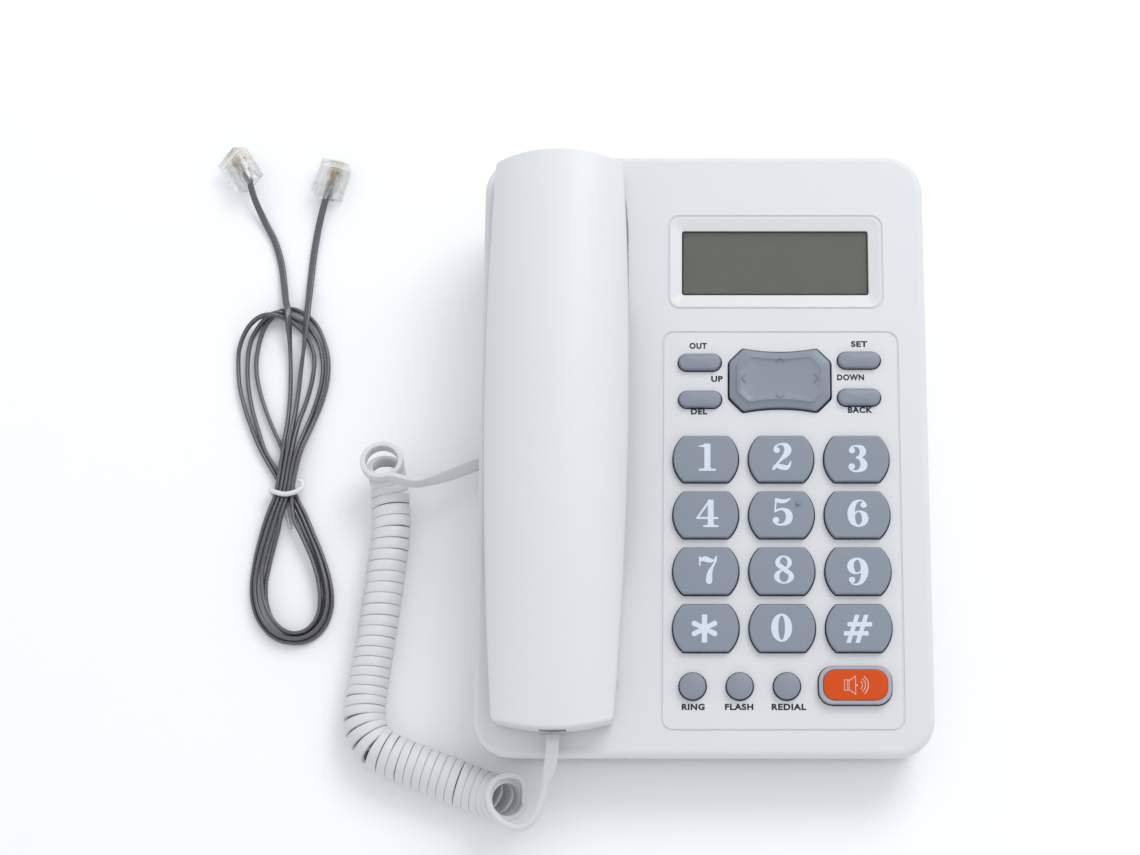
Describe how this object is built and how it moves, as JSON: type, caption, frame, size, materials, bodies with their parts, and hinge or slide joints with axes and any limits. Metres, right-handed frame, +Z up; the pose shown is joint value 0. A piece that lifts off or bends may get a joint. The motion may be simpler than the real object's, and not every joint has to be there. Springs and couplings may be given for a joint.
{
  "type": "corded telephone",
  "caption": "Corded desk telephone: low tilted base with keypad and display, handset in a cradle on a curly cord, and a hanked line cord with modular plugs.",
  "frame": {"origin": "centre of the base's footprint, on the table the rubber feet stand on", "axes": "+X to the right with the keypad on the right, +Y to the rear along the handset, +Z up"},
  "size_m": [0.2374, 0.2318, 0.0599],
  "materials": {
    "shell_white": "fine satin",
    "handset_white": "fine satin",
    "key_grey": "satin",
    "key_orange": "satin",
    "key_print": "printed",
    "label_print": "printed",
    "lcd_glass": "clear gloss",
    "lcd_panel": "gloss",
    "circuit_board": "satin",
    "silicone": "matt",
    "rubber_black": "matt",
    "steel": "bright",
    "brass": "bright",
    "black_plastic": "satin",
    "curly_cord": "satin",
    "clear_plastic": "clear",
    "line_cord": "satin",
    "cord_tie": "satin"
  },
  "bodies": {
    "base": {"base_top": "shell_white", "base_bottom": "shell_white", "feet": "rubber_black", "base_screws": "steel", "lcd_lens": "lcd_glass", "lcd_panel": "lcd_panel", "main_pcb": "circuit_board", "key_mat": "silicone", "hook_spring": "steel", "hook_switch": "black_plastic", "base_speaker": "black_plastic", "base_mic": "black_plastic", "line_jack": "black_plastic", "handset_jack": "black_plastic", "curly_coil": "curly_cord", "lead_handset": "curly_cord", "lead_base": "curly_cord", "plug_base": "clear_plastic", "line_hank": "line_cord", "line_tail_left": "line_cord", "line_tail_right": "line_cord", "line_plug_left": "clear_plastic", "line_plug_right": "clear_plastic", "cord_tie": "cord_tie"},
    "handset": {"handset_top": "handset_white", "handset_bottom": "handset_white", "ear_speaker": "black_plastic", "handset_mic": "black_plastic", "handset_socket": "black_plastic", "handset_weight": "steel", "handset_screws": "steel", "plug_handset": "clear_plastic"},
    "key_1": {"key_1": "key_grey"},
    "key_2": {"key_2": "key_grey"},
    "key_3": {"key_3": "key_grey"},
    "key_4": {"key_4": "key_grey"},
    "key_5": {"key_5": "key_grey"},
    "key_6": {"key_6": "key_grey"},
    "key_7": {"key_7": "key_grey"},
    "key_8": {"key_8": "key_grey"},
    "key_9": {"key_9": "key_grey"},
    "key_star": {"key_star": "key_grey"},
    "key_0": {"key_0": "key_grey"},
    "key_hash": {"key_hash": "key_grey"},
    "key_out": {"key_out": "key_grey"},
    "key_del": {"key_del": "key_grey"},
    "key_set": {"key_set": "key_grey"},
    "key_back": {"key_back": "key_grey"},
    "key_ring": {"key_ring": "key_grey"},
    "key_flash": {"key_flash": "key_grey"},
    "key_redial": {"key_redial": "key_grey"},
    "speaker_key": {"speaker_key": "key_grey", "speaker_key_inlay": "key_orange"},
    "nav_pivot": {"nav_pivot": "silicone"},
    "nav_key": {"nav_key": "key_grey"},
    "hook_plunger": {"hook_plunger": "shell_white"}
  },
  "joints": [
    {"name": "handset_lift", "type": "slide", "parent": "base", "child": "handset", "axis": [0, -0.0872, 0.9962], "range_m": [0, 0.08]},
    {"name": "key_1_press", "type": "slide", "parent": "base", "child": "key_1", "axis": [0, 0.0872, -0.9962], "range_m": [0, 0.0015], "stiffness_N_per_m": 400, "springref_m": -0.0006},
    {"name": "key_2_press", "type": "slide", "parent": "base", "child": "key_2", "axis": [0, 0.0872, -0.9962], "range_m": [0, 0.0015], "stiffness_N_per_m": 400, "springref_m": -0.0006},
    {"name": "key_3_press", "type": "slide", "parent": "base", "child": "key_3", "axis": [0, 0.0872, -0.9962], "range_m": [0, 0.0015], "stiffness_N_per_m": 400, "springref_m": -0.0006},
    {"name": "key_4_press", "type": "slide", "parent": "base", "child": "key_4", "axis": [0, 0.0872, -0.9962], "range_m": [0, 0.0015], "stiffness_N_per_m": 400, "springref_m": -0.0006},
    {"name": "key_5_press", "type": "slide", "parent": "base", "child": "key_5", "axis": [0, 0.0872, -0.9962], "range_m": [0, 0.0015], "stiffness_N_per_m": 400, "springref_m": -0.0006},
    {"name": "key_6_press", "type": "slide", "parent": "base", "child": "key_6", "axis": [0, 0.0872, -0.9962], "range_m": [0, 0.0015], "stiffness_N_per_m": 400, "springref_m": -0.0006},
    {"name": "key_7_press", "type": "slide", "parent": "base", "child": "key_7", "axis": [0, 0.0872, -0.9962], "range_m": [0, 0.0015], "stiffness_N_per_m": 400, "springref_m": -0.0006},
    {"name": "key_8_press", "type": "slide", "parent": "base", "child": "key_8", "axis": [0, 0.0872, -0.9962], "range_m": [0, 0.0015], "stiffness_N_per_m": 400, "springref_m": -0.0006},
    {"name": "key_9_press", "type": "slide", "parent": "base", "child": "key_9", "axis": [0, 0.0872, -0.9962], "range_m": [0, 0.0015], "stiffness_N_per_m": 400, "springref_m": -0.0006},
    {"name": "key_star_press", "type": "slide", "parent": "base", "child": "key_star", "axis": [0, 0.0872, -0.9962], "range_m": [0, 0.0015], "stiffness_N_per_m": 400, "springref_m": -0.0006},
    {"name": "key_0_press", "type": "slide", "parent": "base", "child": "key_0", "axis": [0, 0.0872, -0.9962], "range_m": [0, 0.0015], "stiffness_N_per_m": 400, "springref_m": -0.0006},
    {"name": "key_hash_press", "type": "slide", "parent": "base", "child": "key_hash", "axis": [0, 0.0872, -0.9962], "range_m": [0, 0.0015], "stiffness_N_per_m": 400, "springref_m": -0.0006},
    {"name": "key_out_press", "type": "slide", "parent": "base", "child": "key_out", "axis": [0, 0.0872, -0.9962], "range_m": [0, 0.0015], "stiffness_N_per_m": 400, "springref_m": -0.0006},
    {"name": "key_del_press", "type": "slide", "parent": "base", "child": "key_del", "axis": [0, 0.0872, -0.9962], "range_m": [0, 0.0015], "stiffness_N_per_m": 400, "springref_m": -0.0006},
    {"name": "key_set_press", "type": "slide", "parent": "base", "child": "key_set", "axis": [0, 0.0872, -0.9962], "range_m": [0, 0.0015], "stiffness_N_per_m": 400, "springref_m": -0.0006},
    {"name": "key_back_press", "type": "slide", "parent": "base", "child": "key_back", "axis": [0, 0.0872, -0.9962], "range_m": [0, 0.0015], "stiffness_N_per_m": 400, "springref_m": -0.0006},
    {"name": "key_ring_press", "type": "slide", "parent": "base", "child": "key_ring", "axis": [0, 0.0872, -0.9962], "range_m": [0, 0.0015], "stiffness_N_per_m": 400, "springref_m": -0.0006},
    {"name": "key_flash_press", "type": "slide", "parent": "base", "child": "key_flash", "axis": [0, 0.0872, -0.9962], "range_m": [0, 0.0015], "stiffness_N_per_m": 400, "springref_m": -0.0006},
    {"name": "key_redial_press", "type": "slide", "parent": "base", "child": "key_redial", "axis": [0, 0.0872, -0.9962], "range_m": [0, 0.0015], "stiffness_N_per_m": 400, "springref_m": -0.0006},
    {"name": "speaker_key_press", "type": "slide", "parent": "base", "child": "speaker_key", "axis": [0, 0.0872, -0.9962], "range_m": [0, 0.0015], "stiffness_N_per_m": 400, "springref_m": -0.0006},
    {"name": "nav_rock_updown", "type": "hinge", "parent": "base", "child": "nav_pivot", "pos_m": [0.0242, 0.02229, 0.02703], "axis": [1, 0, 0], "range_deg": [-3, 3], "stiffness_Nm_per_rad": 0.08},
    {"name": "nav_rock_leftright", "type": "hinge", "parent": "nav_pivot", "child": "nav_key", "pos_m": [0.0242, 0.02229, 0.02703], "axis": [0, 0.9962, 0.0872], "range_deg": [-3, 3], "stiffness_Nm_per_rad": 0.08},
    {"name": "hook_plunger_rise", "type": "slide", "parent": "base", "child": "hook_plunger", "axis": [0, -0.0872, 0.9962], "range_m": [0, 0.004]}
  ],
  "couplings": [
    {"joint": "hook_plunger_rise", "follows": "handset_lift", "ratio": 0.05}
  ]
}
